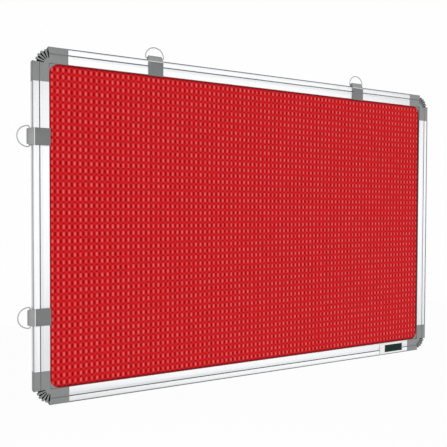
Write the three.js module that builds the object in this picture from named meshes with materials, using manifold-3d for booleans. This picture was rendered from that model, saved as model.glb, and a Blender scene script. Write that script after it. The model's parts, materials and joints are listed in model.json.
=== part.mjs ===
// A wall-hung pin-up board: a fabric-covered soft panel in a frame of aluminium rails, with ribbed
// moulded corners and four clips that each carry a wire D-ring.
// Millimetres. X runs to the right, Y into the wall and Z up. The origin is the middle of the plane
// that lies against the wall.
import * as THREE from "three";
import { mergeVertices } from "three/addons/utils/BufferGeometryUtils.js";
import Module from "manifold-3d";

const wasm = await Module();
wasm.setup();

// Driving dimensions of the board
const boardWidth = 900;
const boardHeight = 600;
const fit = 0.3; // clearance between pieces that seat on each other
const overrun = 1; // how far a cut runs past the piece that it cuts
const wallGap = 2; // the corners stand this far behind the rails and keep them off the wall

// Layers of the panel, from the front
const fabricThickness = 0.8;
const coreThickness = 6.7;
const backingThickness = 2;

// Rail section: depths run back from the front face, insets run in from the outer edge
const railFace = 27.5;
const railWall = 1.6;
const railFrontWall = 2.6;
const railOuterRound = 2.5;
const railInnerRound = 1;
const railRearRound = 0.8;
const grooveInset = 10.8;
const grooveWidth = 2;
const grooveDepth = 1.5;
const bandDrop = 0.4; // the inner band starts this far behind the face
const bandRise = 4; // and comes up to it over this width
const chamberWidth = 15.5; // outer edge to the channel that holds the panel
const fabricRecess = 4; // front face to the fabric
const flangeInset = 24; // outer edge to the free edge of the rear flange

// Corner moulding: two legs, a ribbed fan between them and a web in the inner corner
const legLength = 58.5;
const fanInset = 28.5; // centre of the fan, from both outer edges
const fanRadius = 23.8;
const tipDepth = 3; // the tips of the ribs stand proud of the drum over this depth
const drumRadius = 22; // of the drum that closes the slots, at the front face
const drumRearRadius = 17; // it narrows towards the wall
const drumWall = 0.6; // between the end of a slot and the outside of the drum
const drumDrop = 0.8; // front face to the front edge of that wall
const slotInnerRadius = 9.5;
const slotDepth = 13;
const slotCount = 5;
const slotMiddleDegrees = 45; // the middle slot, from straight up towards the side
const slotPitchDegrees = 18;
const slotWidthDegrees = 8.4;
const webDrop = 2.2; // front face to the front of the web
const webRadius = 17;
const tongueLength = 32; // the part of a leg that plugs into the rail
const tongueLead = 3;
const padInset = 1.5; // edge of a leg to the edge of its wall pad
const panelCornerGap = 1; // the clipped corner of the panel to the moulding

// Self-tapping screws that hold each tongue through the rear wall of its rail
const screwInset = 14; // end of the rail to the screw
const screwShank = 2.8;
const screwHead = 5.8;
const screwHeadEdge = 0.5; // height of the rim of the pan head
const screwLength = 9;
const screwTip = 2;

// Hanger clip: a C-shaped strap snapped round the rail, with a tunnel for the ring on its outer edge
const clipWidth = 28.4;
const clipWall = 1.6;
const clipBendInset = 3.6; // outer edge of the rail to the bend of the strap
const clipHookWall = 1;
const clipFrontHook = 2.2; // how far the front hook goes down the inner edge of the rail
const clipRearHook = 1.2; // how far the rear hook goes round the flange
const tunnelHeight = 8.4; // top of the tunnel above the outer edge of the rail
const tunnelTopWidth = 24.6;
const tunnelFillet = 1.5;
const topClipInset = 215; // middle of a top clip from the side edge of the board
const sideClipInset = 150; // middle of a side clip from the top or bottom edge

// D-ring of bent wire, its butt joint hidden in the tunnel
const wireDiameter = 2;
const ringBarDepth = 5.2; // bar of the ring behind the front face
const ringBarHeight = 4; // bar of the ring above the outer edge of the rail
const ringArcRadius = 17.3;
const ringBendRadius = 2.2;
const ringSeam = 0.4;

// Facets: curve segments, of which each arc or circle gets twice as many
const roundFacets = 2; // on a small corner radius of a section
const fanFacets = 1; // on the tip of a rib
const drumSides = 80;
const boreFacets = 6;
const tunnelFacets = 7;
const wireFacets = 4; // round the wire
const wireSteps = 64;
const screwSides = 12;

// Planes and insets that follow from the sizes above
const railDepth = fabricRecess + fabricThickness + coreThickness + backingThickness + 3 * fit + railWall;
const frontY = -(railDepth + wallGap);
const railRearY = -wallGap;
const fabricY = frontY + fabricRecess;
const coreY = fabricY + fabricThickness + fit;
const backingY = coreY + coreThickness + fit;
const panelInset = chamberWidth + fit;
const panelCorner = 2 * (railFace + panelCornerGap - panelInset);
const lipWall = railWall;
const boreRadius = wireDiameter / 2 + fit;
const chamberMiddle = chamberWidth / 2;
const headHeight = wallGap - 2 * fit;
const rearStrapWall = wallGap - 2 * fit;

const rightAngle = Math.PI / 2;
const xAxis = new THREE.Vector3(1, 0, 0);
const yAxis = new THREE.Vector3(0, 1, 0);
const zAxis = new THREE.Vector3(0, 0, 1);

const aluminium = { color: 0xe8e9eb, roughness: 0.4, metalness: 0.6 };
const cornerPlastic = { color: 0x878888, roughness: 0.55, metalness: 0 };
const clipPlastic = { color: 0x7d7e7e, roughness: 0.5, metalness: 0 };
const wire = { color: 0x999a9c, roughness: 0.25, metalness: 1 };
const zincSteel = { color: 0xb4b7b9, roughness: 0.35, metalness: 1 };
const redFabric = { color: 0xc9282f, roughness: 0.9, metalness: 0 };
const softBoard = { color: 0xb79a70, roughness: 0.95, metalness: 0 };
const hardBoard = { color: 0x8a5d3b, roughness: 0.8, metalness: 0 };

// A closed geometry as a solid that can be cut and joined
function solidOf(geometry) {
  const bare = geometry.clone();
  bare.deleteAttribute("normal");
  bare.deleteAttribute("uv");
  const merged = mergeVertices(bare);
  return new wasm.Manifold(
    new wasm.Mesh({
      numProp: 3,
      vertProperties: merged.attributes.position.array,
      triVerts: new Uint32Array(merged.index.array),
    }),
  );
}

// A solid as a geometry with one flat normal for each facet
function geometryOf(solid) {
  const mesh = solid.getMesh();
  const geometry = new THREE.BufferGeometry();
  geometry.setAttribute("position", new THREE.BufferAttribute(mesh.vertProperties, mesh.numProp));
  geometry.setIndex(new THREE.BufferAttribute(mesh.triVerts, 1));
  const flat = geometry.toNonIndexed();
  flat.computeVertexNormals();
  return flat;
}

function part(name, geometry, finish) {
  const mesh = new THREE.Mesh(geometry, new THREE.MeshStandardMaterial(finish));
  mesh.name = name;
  return mesh;
}

// A prism along X. The outline is drawn in Y and Z.
function alongX(outline, start, end, curveSegments = roundFacets) {
  const prism = new THREE.ExtrudeGeometry(outline, {
    depth: end - start,
    bevelEnabled: false,
    curveSegments,
  });
  prism.applyMatrix4(new THREE.Matrix4().makeBasis(yAxis, zAxis, xAxis));
  prism.translate(start, 0, 0);
  return prism;
}

// A prism from the front to the back. The outline is drawn in X and Z, as seen from the front.
function alongY(outline, front, back, curveSegments = roundFacets) {
  const prism = new THREE.ExtrudeGeometry(outline, {
    depth: back - front,
    bevelEnabled: false,
    curveSegments,
  });
  prism.applyMatrix4(new THREE.Matrix4().makeBasis(xAxis, zAxis, yAxis.clone().negate()));
  prism.translate(0, back, 0);
  return prism;
}

function polygon(points) {
  return new THREE.Shape(points.map(([x, y]) => new THREE.Vector2(x, y)));
}

function rectangle(left, bottom, right, top) {
  return polygon([
    [left, bottom],
    [right, bottom],
    [right, top],
    [left, top],
  ]);
}

// A round bar from the front to the back at a point in X and Z
function roundBar(radius, x, z, front, back) {
  const circle = new THREE.Shape().absarc(x, z, radius, 0, 4 * rightAngle, false);
  return alongY(circle, front, back, boreFacets);
}

// Rail section, drawn in Y and Z, with Z at zero on the outer edge
function railOutline() {
  const grooveEnd = grooveInset + grooveWidth;
  const outline = new THREE.Shape();
  outline.moveTo(railRearY, -railRearRound);
  outline.absarc(railRearY - railRearRound, -railRearRound, railRearRound, 0, rightAngle, false);
  outline.lineTo(frontY + railOuterRound, 0);
  outline.absarc(
    frontY + railOuterRound,
    -railOuterRound,
    railOuterRound,
    rightAngle,
    2 * rightAngle,
    false,
  );
  outline.lineTo(frontY, -grooveInset);
  outline.lineTo(frontY + grooveDepth, -(grooveInset + grooveWidth / 2));
  outline.lineTo(frontY + bandDrop, -grooveEnd);
  outline.lineTo(frontY, -(grooveEnd + bandRise));
  outline.lineTo(frontY, -(railFace - railInnerRound));
  outline.absarc(
    frontY + railInnerRound,
    -(railFace - railInnerRound),
    railInnerRound,
    2 * rightAngle,
    3 * rightAngle,
    false,
  );
  outline.lineTo(fabricY - fit, -railFace);
  outline.lineTo(fabricY - fit, -(railFace - lipWall));
  outline.lineTo(frontY + railFrontWall, -(railFace - lipWall));
  outline.lineTo(frontY + railFrontWall, -chamberWidth);
  outline.lineTo(railRearY - railWall, -chamberWidth);
  outline.lineTo(railRearY - railWall, -flangeInset);
  outline.lineTo(railRearY, -flangeInset);
  outline.closePath();
  return outline;
}

// The closed chamber behind the outer band, which takes the tongues of the corners
function chamber(gap) {
  return {
    front: frontY + railFrontWall + gap,
    back: railRearY - railWall - gap,
    outer: -(railWall + gap),
    inner: -(chamberWidth - railWall - gap),
  };
}

// A rail, its middle at X zero, with a screw hole through its rear wall near each end
function railGeometry(length) {
  const outline = railOutline();
  const hollow = chamber(0);
  outline.holes.push(rectangle(hollow.front, hollow.inner, hollow.back, hollow.outer));
  let rail = solidOf(alongX(outline, -length / 2, length / 2));
  for (const end of [-1, 1]) {
    const x = end * (length / 2 - screwInset);
    const hole = roundBar(
      screwShank / 2 + fit,
      x,
      -chamberMiddle,
      railRearY - railWall - overrun,
      railRearY + overrun,
    );
    rail = rail.subtract(solidOf(hole));
  }
  return geometryOf(rail);
}

// Moulded corner, drawn as the top left one with its outer corner at X and Z zero

// A ring sector round the centre of the fan. Angles run from straight up towards the left.
function fanSector(innerRadius, outerRadius, middleDegrees, widthDegrees) {
  const start = THREE.MathUtils.degToRad(middleDegrees - widthDegrees / 2) + rightAngle;
  const end = THREE.MathUtils.degToRad(middleDegrees + widthDegrees / 2) + rightAngle;
  const sector = new THREE.Shape();
  sector.absarc(fanInset, -fanInset, innerRadius, start, end, false);
  sector.absarc(fanInset, -fanInset, outerRadius, end, start, true);
  sector.closePath();
  return sector;
}

function fanAngles() {
  const angles = [];
  for (let i = 0; i < slotCount; i += 1) {
    angles.push(slotMiddleDegrees + (i - (slotCount - 1) / 2) * slotPitchDegrees);
  }
  return angles;
}

// The quarter disc of the fan, with a hub that runs into the inner edges of the legs
function fanOutline() {
  const lean = Math.asin((fanInset - railFace) / fanRadius);
  const hub = fanInset - slotInnerRadius;
  const disc = new THREE.Shape();
  disc.absarc(fanInset, -fanInset, fanRadius, rightAngle + lean, 2 * rightAngle - lean, false);
  disc.lineTo(hub, -railFace);
  disc.lineTo(hub, -fanInset);
  disc.lineTo(railFace, -fanInset);
  disc.lineTo(railFace, -railFace);
  disc.lineTo(fanInset, -railFace);
  disc.lineTo(fanInset, -hub);
  disc.lineTo(railFace, -hub);
  disc.closePath();
  return disc;
}

// The cone that the drum follows, drawn in from the drum's outside by an inset
function drumSolid(inset) {
  const cone = new THREE.CylinderGeometry(
    drumRearRadius - inset,
    drumRadius - inset,
    -frontY,
    drumSides,
  );
  cone.translate(fanInset, frontY / 2, -fanInset);
  return solidOf(cone);
}

// The fan: ribs with shallow tips round a hub, and the drum behind them that closes the slots
function fanSolid() {
  const outline = fanOutline();
  const discFacets = slotCount * (fanFacets + 1) * 2;
  const slotRoom = drumSolid(drumWall);
  let tips = solidOf(alongY(outline, frontY, frontY + tipDepth, discFacets));
  let drum = solidOf(alongY(outline, frontY, 0, discFacets)).intersect(drumSolid(0));
  for (const angle of fanAngles()) {
    const sector = fanSector(slotInnerRadius, fanRadius + overrun, angle, slotWidthDegrees);
    const mouth = alongY(sector, frontY - overrun, frontY + drumDrop, fanFacets);
    const slot = alongY(sector, frontY, frontY + slotDepth, fanFacets);
    const gap = alongY(sector, frontY - overrun, frontY + tipDepth + overrun, fanFacets);
    tips = tips.subtract(solidOf(gap));
    drum = drum.subtract(solidOf(mouth)).subtract(solidOf(slot).intersect(slotRoom));
  }
  return drum.add(tips);
}

// One leg, from the fan to the tip of its tongue, with its wall pad
function legSolid() {
  const firstSlot = THREE.MathUtils.degToRad(fanAngles()[0] - slotWidthDegrees / 2);
  const reach = (fanInset + overrun) / Math.cos(firstSlot);
  const side = polygon([
    [fanInset, -fanInset],
    [legLength + overrun, -fanInset],
    [legLength + overrun, overrun],
    [fanInset - reach * Math.sin(firstSlot), overrun],
  ]);
  const bar = solidOf(alongX(railOutline(), 0, legLength));
  let leg = bar.intersect(solidOf(alongY(side, frontY - overrun, overrun)));

  const plug = chamber(fit);
  const root = legLength - overrun;
  const tip = legLength + tongueLength;
  const tongue = polygon([
    [root, plug.inner],
    [tip - tongueLead, plug.inner],
    [tip, plug.inner + tongueLead],
    [tip, plug.outer - tongueLead],
    [tip - tongueLead, plug.outer],
    [root, plug.outer],
  ]);
  leg = leg.add(solidOf(alongY(tongue, plug.front, plug.back)));
  const pilot = roundBar(
    screwShank / 2 + fit,
    legLength + fit + screwInset,
    -chamberMiddle,
    plug.front + fit,
    plug.back + overrun,
  );
  leg = leg.subtract(solidOf(pilot));

  const pad = rectangle(
    fanInset - padInset - overrun,
    -(flangeInset - padInset),
    legLength - padInset,
    -padInset,
  );
  return leg.add(solidOf(alongY(pad, railRearY - railWall / 2, 0)));
}

// The thin web that fills the inner corner just in front of the fabric
function webSolid() {
  const near = railFace - lipWall / 2;
  const far = railFace + webRadius;
  const web = new THREE.Shape();
  web.moveTo(near, -near);
  web.lineTo(near, -far);
  web.lineTo(railFace, -far);
  web.absarc(far, -far, webRadius, 2 * rightAngle, rightAngle, true);
  web.lineTo(far, -near);
  web.closePath();
  return solidOf(alongY(web, frontY + webDrop, fabricY - fit, boreFacets));
}

function cornerGeometry() {
  const acrossLeg = legSolid();
  const mirrored = geometryOf(acrossLeg);
  // The down leg is the across leg mirrored in the diagonal, with its facets turned back to face out
  mirrored.applyMatrix4(
    new THREE.Matrix4().makeBasis(zAxis.clone().negate(), yAxis, xAxis.clone().negate()),
  );
  const position = mirrored.attributes.position;
  for (let i = 0; i < position.count; i += 3) {
    const a = new THREE.Vector3().fromBufferAttribute(position, i);
    const b = new THREE.Vector3().fromBufferAttribute(position, i + 1);
    position.setXYZ(i, b.x, b.y, b.z);
    position.setXYZ(i + 1, a.x, a.y, a.z);
  }
  return geometryOf(acrossLeg.add(solidOf(mirrored)).add(fanSolid()).add(webSolid()));
}

// Panel outline seen from the front, an equal inset from the board's edges, with clipped corners
function panelOutline(inset) {
  const x = boardWidth / 2 - panelInset - inset;
  const z = boardHeight / 2 - panelInset - inset;
  const clip = panelCorner - inset * Math.SQRT1_2;
  return polygon([
    [-x + clip, -z],
    [x - clip, -z],
    [x, -z + clip],
    [x, z - clip],
    [x - clip, z],
    [-x + clip, z],
    [-x, z - clip],
    [-x, -z + clip],
  ]);
}

// The fabric, drawn as a shallow tray whose sides are folded back over the edges of the core
function coverGeometry() {
  const block = solidOf(alongY(panelOutline(0), fabricY, coreY + coreThickness));
  const room = alongY(panelOutline(fabricThickness), fabricY + fabricThickness, 0);
  return geometryOf(block.subtract(solidOf(room)));
}

// Hanger clip section, drawn in Y and Z, with Z at zero on the outer edge of the rail
function clipOutline() {
  const strapY = frontY - fit - clipWall;
  const barY = frontY + ringBarDepth;
  const tunnelRadius = tunnelHeight - ringBarHeight;
  const topZ = fit + clipWall;
  const rise = ringBarHeight + clipBendInset;
  const run = barY - strapY;
  const slope = Math.atan2(rise, run) + Math.asin(tunnelRadius / Math.hypot(rise, run));
  const rearY = railRearY + fit + rearStrapWall;
  const innerRound = railOuterRound + fit;
  const frontEnd = -(railFace + fit + clipHookWall);
  const rearEnd = -(flangeInset + fit + clipHookWall);
  const outline = new THREE.Shape();
  outline.moveTo(strapY, frontEnd);
  outline.lineTo(frontY + clipFrontHook, frontEnd);
  outline.lineTo(frontY + clipFrontHook, -(railFace + fit));
  outline.lineTo(frontY - fit, -(railFace + fit));
  outline.lineTo(frontY - fit, -railOuterRound);
  outline.absarc(
    frontY + railOuterRound,
    -railOuterRound,
    innerRound,
    2 * rightAngle,
    rightAngle,
    true,
  );
  outline.lineTo(railRearY + fit, fit);
  outline.lineTo(railRearY + fit, -(flangeInset + fit));
  outline.lineTo(railRearY - clipRearHook, -(flangeInset + fit));
  outline.lineTo(railRearY - clipRearHook, rearEnd);
  outline.lineTo(rearY, rearEnd);
  outline.lineTo(rearY, topZ);
  outline.lineTo(barY + tunnelRadius + tunnelFillet, topZ);
  outline.quadraticCurveTo(
    barY + tunnelRadius,
    topZ,
    barY + tunnelRadius,
    topZ + tunnelFillet,
  );
  outline.absarc(barY, ringBarHeight, tunnelRadius, 0, slope + rightAngle, false);
  outline.lineTo(strapY, -clipBendInset);
  outline.closePath();
  outline.holes.push(
    new THREE.Path().absarc(barY, ringBarHeight, boreRadius, 0, 4 * rightAngle, true),
  );
  return outline;
}

// A clip, its middle at X zero, with the ends of its tunnel tapered towards the top
function clipGeometry() {
  let clip = solidOf(alongX(clipOutline(), -clipWidth / 2, clipWidth / 2, tunnelFacets));
  const lean = (clipWidth - tunnelTopWidth) / 2 / tunnelHeight;
  for (const end of [-1, 1]) {
    const taper = polygon([
      [end * (clipWidth / 2), 0],
      [end * (clipWidth / 2 + overrun), 0],
      [end * (clipWidth / 2 + overrun), tunnelHeight + overrun],
      [end * (clipWidth / 2 - lean * (tunnelHeight + overrun)), tunnelHeight + overrun],
    ]);
    clip = clip.subtract(solidOf(alongY(taper, frontY - clipWall - fit - overrun, overrun)));
  }
  return geometryOf(clip);
}

// The wire's centre line, in X and Z about the middle of the bar, from one side of the seam round to
// the other
function ringPath() {
  const side = ringArcRadius;
  const bend = ringBendRadius;
  const path = new THREE.CurvePath();
  const at = (x, z) => new THREE.Vector3(x, 0, z);
  const arc = (x, z, radius, start, end) => {
    const curve = new THREE.Curve();
    curve.getPoint = (t, target = new THREE.Vector3()) => {
      const angle = THREE.MathUtils.lerp(start, end, t);
      return target.set(x + radius * Math.cos(angle), 0, z + radius * Math.sin(angle));
    };
    return curve;
  };
  path.add(new THREE.LineCurve3(at(ringSeam / 2, 0), at(side - bend, 0)));
  path.add(arc(side - bend, bend, bend, -rightAngle, 0));
  path.add(arc(0, bend, side, 0, 2 * rightAngle));
  path.add(arc(bend - side, bend, bend, 2 * rightAngle, 3 * rightAngle));
  path.add(new THREE.LineCurve3(at(bend - side, 0), at(-ringSeam / 2, 0)));
  return path;
}

function ringGeometry() {
  const section = new THREE.Shape().absarc(0, 0, wireDiameter / 2, 0, 4 * rightAngle, false);
  return new THREE.ExtrudeGeometry(section, {
    steps: wireSteps,
    curveSegments: wireFacets,
    extrudePath: ringPath(),
  });
}

// A pan-head screw along Y, its head behind the rail and its point in the tongue
function screwGeometry() {
  const seat = railRearY + fit;
  const head = screwHead / 2;
  const shank = screwShank / 2;
  const profile = [
    [0, seat - screwLength],
    [shank, seat - screwLength + screwTip],
    [shank, seat],
    [head, seat],
    [head, seat + screwHeadEdge],
    [(head + shank) / 2, seat + headHeight],
    [0, seat + headHeight],
  ];
  return new THREE.LatheGeometry(
    profile.map(([radius, along]) => new THREE.Vector2(radius, along)),
    screwSides,
  );
}

const board = new THREE.Group();

// A group whose X runs along one side of the board and whose Z points out of it
function sideGroup(quarterTurns, reach) {
  const group = new THREE.Group();
  group.rotation.y = quarterTurns * rightAngle;
  group.position.set(0, 0, reach).applyEuler(group.rotation);
  board.add(group);
  return group;
}

const sides = {
  top: { group: sideGroup(0, boardHeight / 2), span: boardWidth, clipInset: topClipInset },
  right: { group: sideGroup(1, boardWidth / 2), span: boardHeight },
  bottom: { group: sideGroup(2, boardHeight / 2), span: boardWidth },
  left: { group: sideGroup(-1, boardWidth / 2), span: boardHeight, clipInset: sideClipInset },
};

for (const [name, { group, span }] of Object.entries(sides)) {
  const length = span - 2 * (legLength + fit);
  group.add(part("frame_rail_" + name, railGeometry(length), aluminium));
  for (const [number, end] of [-1, 1].entries()) {
    const screw = part(`corner_screw_${name}_${number + 1}`, screwGeometry(), zincSteel);
    screw.position.set(end * (length / 2 - screwInset), 0, -chamberMiddle);
    group.add(screw);
  }
}

const corners = [
  ["top_left", -1, 1, 0],
  ["top_right", 1, 1, 1],
  ["bottom_right", 1, -1, 2],
  ["bottom_left", -1, -1, 3],
];
for (const [name, across, up, quarterTurns] of corners) {
  const corner = part("corner_" + name, cornerGeometry(), cornerPlastic);
  corner.position.set((across * boardWidth) / 2, 0, (up * boardHeight) / 2);
  corner.rotation.y = quarterTurns * rightAngle;
  board.add(corner);
}

board.add(part("fabric_cover", coverGeometry(), redFabric));
const coreInset = fabricThickness + fit;
board.add(
  part("soft_core", alongY(panelOutline(coreInset), coreY, coreY + coreThickness), softBoard),
);
board.add(
  part("backing_sheet", alongY(panelOutline(0), backingY, backingY + backingThickness), hardBoard),
);

const hangers = [
  ["top_left", sides.top, -1],
  ["top_right", sides.top, 1],
  ["left_lower", sides.left, -1],
  ["left_upper", sides.left, 1],
];
for (const [name, { group, span, clipInset }, end] of hangers) {
  const x = end * (span / 2 - clipInset);
  const clip = part("hanger_clip_" + name, clipGeometry(), clipPlastic);
  clip.position.x = x;
  const ring = part("hanger_ring_" + name, ringGeometry(), wire);
  ring.position.set(x, frontY + ringBarDepth, ringBarHeight);
  group.add(clip, ring);
}

export default board;
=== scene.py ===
import json
import math

import bmesh
import bpy
import numpy as np
from mathutils import Matrix, Vector


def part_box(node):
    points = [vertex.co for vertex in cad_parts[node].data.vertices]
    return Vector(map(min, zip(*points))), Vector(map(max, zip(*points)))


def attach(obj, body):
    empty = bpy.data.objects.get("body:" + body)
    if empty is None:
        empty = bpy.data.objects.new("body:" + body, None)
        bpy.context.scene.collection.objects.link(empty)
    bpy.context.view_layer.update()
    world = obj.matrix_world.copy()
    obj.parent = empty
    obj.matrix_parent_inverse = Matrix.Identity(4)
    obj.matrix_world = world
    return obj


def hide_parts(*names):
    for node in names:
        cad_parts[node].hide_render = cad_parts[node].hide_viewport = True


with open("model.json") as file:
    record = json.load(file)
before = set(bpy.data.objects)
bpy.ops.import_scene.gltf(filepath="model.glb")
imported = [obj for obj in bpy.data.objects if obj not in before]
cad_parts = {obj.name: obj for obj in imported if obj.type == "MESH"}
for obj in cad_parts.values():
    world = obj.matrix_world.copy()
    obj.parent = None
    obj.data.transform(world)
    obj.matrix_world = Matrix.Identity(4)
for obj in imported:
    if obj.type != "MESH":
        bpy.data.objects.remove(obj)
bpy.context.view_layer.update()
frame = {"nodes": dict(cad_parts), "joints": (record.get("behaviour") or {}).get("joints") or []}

MM = 0.001
FULL_TURN = 2 * math.pi
HALF_TURN = math.pi
QUARTER_TURN = math.pi / 2

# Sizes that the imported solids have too, in metres
BOARD_WIDTH = 900 * MM
BOARD_HEIGHT = 600 * MM
RAIL_FACE = 27.5 * MM
FRONT_Y = -18 * MM
RAIL_OUTER_ROUND = 2.5 * MM
GROOVE_INSET = 10.8 * MM
GROOVE_WIDTH = 2 * MM
GROOVE_MIDDLE = GROOVE_INSET + GROOVE_WIDTH / 2
SLOPE_WIDTH = 4 * MM
FAN_INSET = 28.5 * MM
SLOT_PITCH = math.radians(18)
CLIP_BEND_INSET = 3.6 * MM
WEB_RADIUS = 17 * MM
WIRE_RADIUS = 1 * MM
RING_ARC_RADIUS = 17.3 * MM
RING_BEND_RADIUS = 2.2 * MM
RING_SEAM = 0.4 * MM

SIDES = ("top", "right", "bottom", "left")
CORNERS = ("top_left", "top_right", "bottom_right", "bottom_left")
HANGERS = ("top_left", "top_right", "left_lower", "left_upper")


# Colours

TOP_LEVEL = 255
STRAIGHT_END = 0.04045
STRAIGHT_SLOPE = 12.92
CURVE_OFFSET = 0.055
CURVE_POWER = 2.4


def linear_share(level):
    """The share of full light that a display level of 0 to 255 stands for."""
    share = level / TOP_LEVEL
    if share <= STRAIGHT_END:
        return share / STRAIGHT_SLOPE
    return ((share + CURVE_OFFSET) / (1 + CURVE_OFFSET)) ** CURVE_POWER


def paint(red, green, blue):
    """A display colour of 0 to 255 as the linear colour that a shader takes."""
    return (linear_share(red), linear_share(green), linear_share(blue), 1.0)


# Node graphs

# Sockets that share their name with others of the same node, by their number
MIX_FIRST_VALUE = 2
MIX_SECOND_VALUE = 3
MIX_FIRST_COLOUR = 6
MIX_SECOND_COLOUR = 7
MIX_COLOUR_OUT = 2
RANDOM_LOW = 2
RANDOM_HIGH = 3
RANDOM_OUT = 1


class Graph:
    """A node tree with short calls to add nodes and join them."""

    def __init__(self, tree):
        self.tree = tree

    def add(self, kind, inputs=None, **settings):
        """A node, with its settings, and with a value or a joined socket for each input named."""
        node = self.tree.nodes.new(kind)
        for name, value in settings.items():
            setattr(node, name, value)
        for name, value in (inputs or {}).items():
            self.feed(value, node.inputs[name])
        return node

    def feed(self, value, socket):
        """Joins a socket to an input, or sets the input to a plain value."""
        if isinstance(value, bpy.types.NodeSocket):
            self.tree.links.new(value, socket)
        else:
            socket.default_value = value

    def math(self, operation, *values, clamp=False):
        """The result of a Math node."""
        node = self.add("ShaderNodeMath", dict(enumerate(values)), operation=operation)
        node.use_clamp = clamp
        return node.outputs[0]

    def product(self, *values):
        """All the values multiplied."""
        result = values[0]
        for value in values[1:]:
            result = self.math("MULTIPLY", result, value)
        return result

    def off(self, value, middle):
        """How far a value is from a middle, to either side."""
        return self.math("ABSOLUTE", self.math("SUBTRACT", value, middle))

    def between(self, value, low, high, start=0.0, end=1.0, smooth=False):
        """Value taken from the range low to high over to the range start to end."""
        node = self.add(
            "ShaderNodeMapRange",
            dict(enumerate((value, low, high, start, end))),
            interpolation_type="SMOOTHSTEP" if smooth else "LINEAR",
        )
        return node.outputs[0]

    def fading(self, value, low, high, smooth=False):
        """One where the value is below low, zero where it is above high."""
        return self.between(value, low, high, 1.0, 0.0, smooth)

    def blended(self, share, first, second):
        """Two values mixed by a share."""
        inputs = {"Factor": share, MIX_FIRST_VALUE: first, MIX_SECOND_VALUE: second}
        return self.add("ShaderNodeMix", inputs).outputs[0]

    def chance(self, low, high, seed, number=None):
        """A random value between low and high for each point, or for each number if one is given."""
        inputs = {RANDOM_LOW: low, RANDOM_HIGH: high, "Seed": seed}
        node = self.add("FunctionNodeRandomValue", inputs, data_type="FLOAT")
        if number is not None:
            self.feed(number, node.inputs["ID"])
        return node.outputs[RANDOM_OUT]


class Finish(Graph):
    """A material on the Principled shader that reads Object coordinates."""

    def __init__(self, name, roughness, metallic=0.0):
        self.material = bpy.data.materials.new(name)
        self.material.use_nodes = True
        super().__init__(self.material.node_tree)
        self.tree.nodes.clear()
        self.output = self.add("ShaderNodeOutputMaterial")
        self.shader = self.add("ShaderNodeBsdfPrincipled")
        self.feed(self.shader.outputs[0], self.output.inputs["Surface"])
        self.plain("Roughness", roughness)
        self.plain("Metallic", metallic)
        self.place = self.add("ShaderNodeTexCoord").outputs["Object"]
        split = self.add("ShaderNodeSeparateXYZ", {0: self.place})
        self.x, self.y, self.z = split.outputs

    def plain(self, name, value):
        """Sets an input of the shader to one value for the whole surface."""
        self.shader.inputs[name].default_value = value

    def noise(self, scale, detail=2.0, rough=0.5, place=None):
        """A noise of 0 to 1, with scale as its waves to the metre."""
        inputs = {
            "Vector": place or self.place,
            "Scale": scale,
            "Detail": detail,
            "Roughness": rough,
        }
        return self.add("ShaderNodeTexNoise", inputs).outputs[0]

    def grain(self, waves, detail, rough):
        """A noise of 0 to 1 with its own count of waves to the metre along x, y and z."""
        place = self.add("ShaderNodeMapping", {"Vector": self.place, "Scale": waves}).outputs[0]
        return self.noise(1.0, detail, rough, place)

    def ramp(self, value, stops):
        """A colour for each value, from stops of a place and a colour."""
        node = self.add("ShaderNodeValToRGB", {0: value})
        elements = node.color_ramp.elements
        for place, _ in stops[1:-1]:
            elements.new(place)
        for element, (place, colour) in zip(elements, stops):
            element.position = place
            element.color = colour
        return node.outputs[0]

    def mixed(self, share, first, second):
        """Two colours mixed by a share."""
        inputs = {"Factor": share, MIX_FIRST_COLOUR: first, MIX_SECOND_COLOUR: second}
        return self.add("ShaderNodeMix", inputs, data_type="RGBA").outputs[MIX_COLOUR_OUT]

    def colour(self, value):
        self.feed(value, self.shader.inputs["Base Color"])

    def roughness(self, value):
        self.feed(value, self.shader.inputs["Roughness"])

    def bump(self, height, depth, strength=1.0):
        """Raises the surface by a height of 0 to 1 times a depth in metres."""
        inputs = {"Strength": strength, "Distance": depth, "Height": height}
        node = self.add("ShaderNodeBump", inputs)
        self.feed(node.outputs[0], self.shader.inputs["Normal"])

    def inset(self):
        """The distance in from the outer edge of the board, below zero outside it."""
        across = self.math("SUBTRACT", BOARD_WIDTH / 2, self.math("ABSOLUTE", self.x))
        down = self.math("SUBTRACT", BOARD_HEIGHT / 2, self.math("ABSOLUTE", self.z))
        return self.math("MINIMUM", across, down)

    def depth(self):
        """The distance back from the front of the frame."""
        return self.math("SUBTRACT", self.y, FRONT_Y)


# Aluminium of the rails

FRONT_FADE_START = 3 * MM
FRONT_FADE_END = 4 * MM
# Width of the painted shade in the groove
GROOVE_FULL_SHARE = 0.35
GROOVE_END_SHARE = 0.55
LINE_WAVES_ALONG = 8.0
LINE_WAVES_ACROSS = 2600.0
# Strength and fade of the painted shade on the sloped band
SLOPE_SHADE_SHARE = 0.28
SLOPE_FADE = 1 * MM
# Reach and depth of the painted shade on the rounded outer edge
OUTER_LINE_REACH = 3.2 * MM
OUTER_LINE_REACH_LEFT = 1.9 * MM
OUTER_LINE_REACH_RIGHT = 4.8 * MM
OUTER_LINE_START = -2.2 * MM
OUTER_LINE_END = 0.8 * MM
OUTER_LINE_DEPTH_START = 0.4 * MM
OUTER_LINE_DEPTH_END = RAIL_OUTER_ROUND + 0.8 * MM
# Place of the painted shade on the inner side of the lip
INNER_LINE_START = RAIL_FACE - 0.7 * MM
INNER_LINE_FULL = RAIL_FACE - 0.2 * MM
INNER_LINE_DEPTH_START = 0.3 * MM
INNER_LINE_DEPTH_FULL = 1 * MM


def front_share(finish):
    """One on the front of the frame, zero on its sides and its back."""
    return finish.fading(finish.y, FRONT_Y + FRONT_FADE_START, FRONT_Y + FRONT_FADE_END)


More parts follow.
